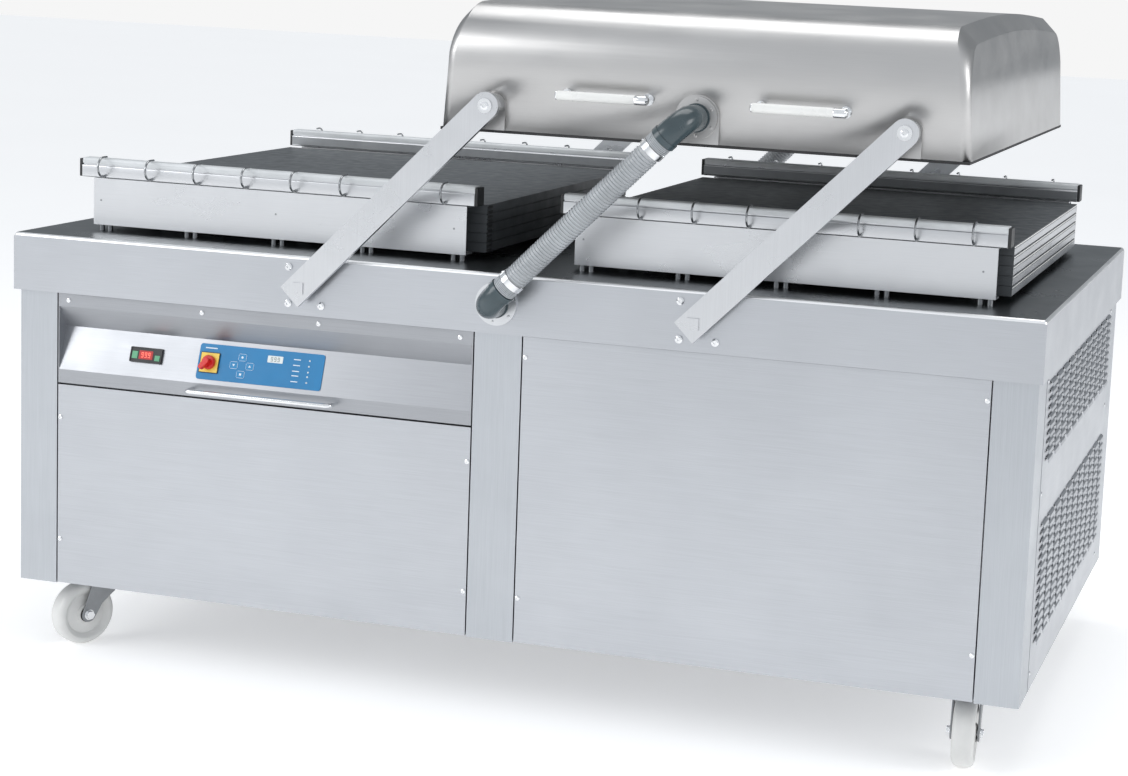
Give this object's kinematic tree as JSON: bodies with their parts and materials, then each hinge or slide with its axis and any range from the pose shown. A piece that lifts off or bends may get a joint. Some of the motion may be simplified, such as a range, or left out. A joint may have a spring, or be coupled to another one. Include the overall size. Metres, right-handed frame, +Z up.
{
  "type": "vacuum packing machine",
  "caption": "Free-standing stainless vacuum packing machine: twin sealing stations, a lid that swings across on parallel arms, vacuum hoses, a control fascia and swivel casters.",
  "frame": {"origin": "floor level under the middle of the machine", "axes": "+X to the right as seen from the control side, +Y to the back, +Z up"},
  "size_m": [2.26, 1.508, 1.5056],
  "materials": {
    "stainless": "brushed",
    "polished_steel": "polished",
    "bearing_grey": "machined",
    "machine_paint": "satin enamel",
    "transformer_black": "satin enamel",
    "black_plastic": "matt",
    "blue_keypad": "gloss film",
    "green_keys": "gloss",
    "yellow_plate": "semi-gloss",
    "red_knob": "gloss",
    "bar_aluminium": "satin",
    "smoky_hose": "smoky, ribbed",
    "elbow_slate": "semi-gloss",
    "gasket_rubber": "matt",
    "handle_white": "gloss",
    "counter_bar_dark": "matt",
    "caster_steel": "zinc-grey",
    "wheel_nylon": "moulded"
  },
  "bodies": {
    "cabinet": {"base_frame": "stainless", "floor_pan": "stainless", "posts": "stainless", "top_frame": "stainless", "worktop": "stainless", "front_left_panel": "stainless", "front_right_panel": "stainless", "left_side_panel": "stainless", "right_side_panel": "stainless", "rear_panel": "stainless", "control_fascia": "stainless", "hand_rail": "polished_steel", "panel_screws": "polished_steel", "arm_bearings": "bearing_grey", "bearing_bolts": "polished_steel", "hose_port_flanges": "stainless", "vacuum_manifold": "machine_paint", "vacuum_pump": "machine_paint", "pump_motor": "machine_paint", "sealing_transformer": "transformer_black", "cable_gland": "black_plastic", "temperature_controller": "black_plastic", "keypad_panel": "blue_keypad", "switch_plate": "yellow_plate", "left_insert_plates": "stainless", "right_insert_plates": "stainless", "bar_carriers": "stainless", "station_feet": "black_plastic", "lift_cylinders": "bearing_grey"},
    "left_link": {"left_arms": "polished_steel"},
    "right_link": {"right_arms": "polished_steel"},
    "lid": {"lid_shell": "stainless", "lid_gasket": "gasket_rubber", "lid_brackets": "stainless", "lid_pivot_bolts": "polished_steel", "lid_handles": "handle_white", "lid_counter_bars": "counter_bar_dark"},
    "front_hose_link": {"front_hose": "smoky_hose", "front_hose_elbows": "elbow_slate"},
    "rear_hose_link": {"rear_hose": "smoky_hose", "rear_hose_elbows": "elbow_slate"},
    "switch": {"switch_knob": "red_knob"},
    "key_set_body": {"key_set": "blue_keypad"},
    "key_less_body": {"key_less": "blue_keypad"},
    "key_more_body": {"key_more": "blue_keypad"},
    "key_stop_body": {"key_stop": "blue_keypad"},
    "controller_key_left_body": {"controller_key_left": "green_keys"},
    "controller_key_right_body": {"controller_key_right": "green_keys"},
    "seal_bar_front_left": {"bar_front_left": "bar_aluminium"},
    "seal_bar_rear_left": {"bar_rear_left": "bar_aluminium"},
    "seal_bar_front_right": {"bar_front_right": "bar_aluminium"},
    "seal_bar_rear_right": {"bar_rear_right": "bar_aluminium"},
    "swivel_front_left": {"caster_fork_front_left": "caster_steel"},
    "wheel_front_left": {"caster_wheel_front_left": "wheel_nylon"},
    "swivel_front_right": {"caster_fork_front_right": "caster_steel"},
    "wheel_front_right": {"caster_wheel_front_right": "wheel_nylon"},
    "swivel_rear_left": {"caster_fork_rear_left": "caster_steel"},
    "wheel_rear_left": {"caster_wheel_rear_left": "wheel_nylon"},
    "swivel_rear_right": {"caster_fork_rear_right": "caster_steel"},
    "wheel_rear_right": {"caster_wheel_rear_right": "wheel_nylon"}
  },
  "joints": [
    {"name": "arm_swing", "type": "hinge", "parent": "cabinet", "child": "left_link", "pos_m": [-0.432, 0, 0.877], "axis": [0, 1, 0], "range_deg": [-122.8, 32.8]},
    {"name": "lid_level", "type": "hinge", "parent": "left_link", "child": "lid", "pos_m": [-0.02541, 0, 1.28359], "axis": [0, 1, 0], "range_deg": [-32.8, 122.8]},
    {"name": "right_arm_swing", "type": "hinge", "parent": "cabinet", "child": "right_link", "pos_m": [0.432, 0, 0.877], "axis": [0, 1, 0], "range_deg": [-122.8, 32.8]},
    {"name": "front_hose_swing", "type": "hinge", "parent": "cabinet", "child": "front_hose_link", "pos_m": [0, -0.725, 0.877], "axis": [0, 1, 0], "range_deg": [-122.8, 32.8]},
    {"name": "rear_hose_swing", "type": "hinge", "parent": "cabinet", "child": "rear_hose_link", "pos_m": [0, 0.725, 0.877], "axis": [0, 1, 0], "range_deg": [-122.8, 32.8]},
    {"name": "switch_turn", "type": "hinge", "parent": "cabinet", "child": "switch", "pos_m": [-0.667, -0.62014, 0.6871], "axis": [0, -0.9476, 0.3193], "range_deg": [0, 90]},
    {"name": "key_set_press", "type": "slide", "parent": "cabinet", "child": "key_set_body", "axis": [0, 0.9476, -0.3193], "range_m": [0, 0.0005], "stiffness_N_per_m": 800, "springref_m": -0.0005},
    {"name": "key_less_press", "type": "slide", "parent": "cabinet", "child": "key_less_body", "axis": [0, 0.9476, -0.3193], "range_m": [0, 0.0005], "stiffness_N_per_m": 800, "springref_m": -0.0005},
    {"name": "key_more_press", "type": "slide", "parent": "cabinet", "child": "key_more_body", "axis": [0, 0.9476, -0.3193], "range_m": [0, 0.0005], "stiffness_N_per_m": 800, "springref_m": -0.0005},
    {"name": "key_stop_press", "type": "slide", "parent": "cabinet", "child": "key_stop_body", "axis": [0, 0.9476, -0.3193], "range_m": [0, 0.0005], "stiffness_N_per_m": 800, "springref_m": -0.0005},
    {"name": "controller_key_left_press", "type": "slide", "parent": "cabinet", "child": "controller_key_left_body", "axis": [0, 0.9476, -0.3193], "range_m": [0, 0.0008], "stiffness_N_per_m": 800, "springref_m": -0.0005},
    {"name": "controller_key_right_press", "type": "slide", "parent": "cabinet", "child": "controller_key_right_body", "axis": [0, 0.9476, -0.3193], "range_m": [0, 0.0008], "stiffness_N_per_m": 800, "springref_m": -0.0005},
    {"name": "lift_front_left", "type": "slide", "parent": "cabinet", "child": "seal_bar_front_left", "axis": [0, 0, 1], "range_m": [0, 0.01]},
    {"name": "lift_rear_left", "type": "slide", "parent": "cabinet", "child": "seal_bar_rear_left", "axis": [0, 0, 1], "range_m": [0, 0.01]},
    {"name": "lift_front_right", "type": "slide", "parent": "cabinet", "child": "seal_bar_front_right", "axis": [0, 0, 1], "range_m": [0, 0.01]},
    {"name": "lift_rear_right", "type": "slide", "parent": "cabinet", "child": "seal_bar_rear_right", "axis": [0, 0, 1], "range_m": [0, 0.01]},
    {"name": "swivel_front_left_turn", "type": "hinge", "parent": "cabinet", "child": "swivel_front_left", "pos_m": [-1, -0.505, 0.145], "axis": [0, 0, 1], "continuous": true},
    {"name": "wheel_front_left_spin", "type": "hinge", "parent": "swivel_front_left", "child": "wheel_front_left", "pos_m": [-1.02066, -0.54385, 0.07], "axis": [0.8829, -0.4695, 0], "continuous": true},
    {"name": "swivel_front_right_turn", "type": "hinge", "parent": "cabinet", "child": "swivel_front_right", "pos_m": [1, -0.505, 0.145], "axis": [0, 0, 1], "continuous": true},
    {"name": "wheel_front_right_spin", "type": "hinge", "parent": "swivel_front_right", "child": "wheel_front_right", "pos_m": [1.00384, -0.54883, 0.07], "axis": [0.9962, 0.0872, 0], "continuous": true},
    {"name": "swivel_rear_left_turn", "type": "hinge", "parent": "cabinet", "child": "swivel_rear_left", "pos_m": [-1, 0.505, 0.145], "axis": [0, 0, 1], "continuous": true},
    {"name": "wheel_rear_left_spin", "type": "hinge", "parent": "swivel_rear_left", "child": "wheel_rear_left", "pos_m": [-0.978, 0.5431, 0.07], "axis": [-0.866, 0.5, 0], "continuous": true},
    {"name": "swivel_rear_right_turn", "type": "hinge", "parent": "cabinet", "child": "swivel_rear_right", "pos_m": [1, 0.505, 0.145], "axis": [0, 0, 1], "continuous": true},
    {"name": "wheel_rear_right_spin", "type": "hinge", "parent": "swivel_rear_right", "child": "wheel_rear_right", "pos_m": [0.98495, 0.54635, 0.07], "axis": [-0.9397, -0.342, 0], "continuous": true}
  ],
  "couplings": [
    {"joint": "lid_level", "follows": "arm_swing", "ratio": -1},
    {"joint": "right_arm_swing", "follows": "arm_swing", "ratio": 1},
    {"joint": "front_hose_swing", "follows": "arm_swing", "ratio": 1},
    {"joint": "rear_hose_swing", "follows": "arm_swing", "ratio": 1}
  ]
}
